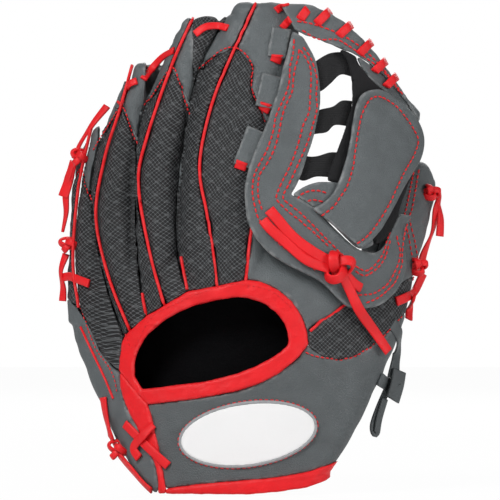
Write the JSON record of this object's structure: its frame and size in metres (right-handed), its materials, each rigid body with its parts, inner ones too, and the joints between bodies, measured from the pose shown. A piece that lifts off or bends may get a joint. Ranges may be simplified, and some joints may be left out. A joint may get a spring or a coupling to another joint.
{
  "type": "baseball fielder's glove",
  "caption": "Youth baseball glove for the left hand: cupped leather and mesh, open back with bound edges, laced crown, split web with a flap, wrist strap with a blank patch.",
  "frame": {"origin": "on the bottom edge of the palm leather, at the middle of the heel", "axes": "+Z to the fingertips, -Y the back of the hand, +X the thumb side"},
  "size_m": [0.1937, 0.0931, 0.2461],
  "materials": {
    "leather": "grained, satin, charcoal grey",
    "mesh": "open spacer mesh, charcoal grey over black",
    "binding": "smooth red binding leather",
    "lace": "red lace, satin",
    "patch": "white woven patch, satin",
    "rim": "grey embroidered rim",
    "elastic": "black ribbed elastic",
    "loop": "black loop pile",
    "lining": "soft dark lining leather",
    "padding": "felt padding"
  },
  "bodies": {
    "glove_body": {"pinky_mesh_back": "mesh", "pinky_tip_cap": "leather", "pinky_piping": "binding", "ring_mesh_back": "mesh", "ring_tip_cap": "leather", "ring_piping": "binding", "middle_mesh_back": "mesh", "middle_tip_cap": "leather", "middle_piping": "binding", "index_mesh_back": "mesh", "index_tip_cap": "leather", "index_piping": "binding", "opening_binding": "binding", "hand_back_panel": "leather", "pinky_heel_panel": "leather", "side_binding": "binding", "wrist_strap": "leather", "foot_binding": "binding", "palm_fingers": "leather", "palm_crease": "leather", "pinky_heel_pad": "padding", "palm_liner": "lining", "web_index_panel": "leather", "web_crown_bar": "leather", "crown_lace": "lace", "web_facing": "leather", "index_belt_loops": "leather", "strap_patch": "patch", "patch_rim": "rim", "strap_lace": "lace", "heel_lace": "lace", "fingertip_laces": "lace", "web_tie_lace": "lace", "web_tie_knot": "lace", "pinky_side_lace": "lace", "heel_tie": "leather"},
    "thumb_side": {"thumb_mesh_panel": "mesh", "thumb_back": "leather", "palm_thumb": "leather", "thumb_heel_pad": "padding", "thumb_liner": "lining", "web_elastic_bands": "elastic", "web_loop_pad": "loop", "web_base_lobe": "leather", "thumb_side_lace": "lace"},
    "web_flap_body": {"web_flap": "leather"}
  },
  "joints": [
    {"name": "pocket_fold", "type": "hinge", "parent": "glove_body", "child": "thumb_side", "pos_m": [0.032, -0.007, 0.08], "axis": [0, 0.0995, 0.995], "range_deg": [0, 22], "deforming": ["palm_crease", "web_elastic_bands"]},
    {"name": "flap_peel", "type": "hinge", "parent": "thumb_side", "child": "web_flap_body", "pos_m": [0.046, -0.01118, 0.13175], "axis": [0.7365, 0.26, -0.6244], "range_deg": [0, 110]}
  ]
}
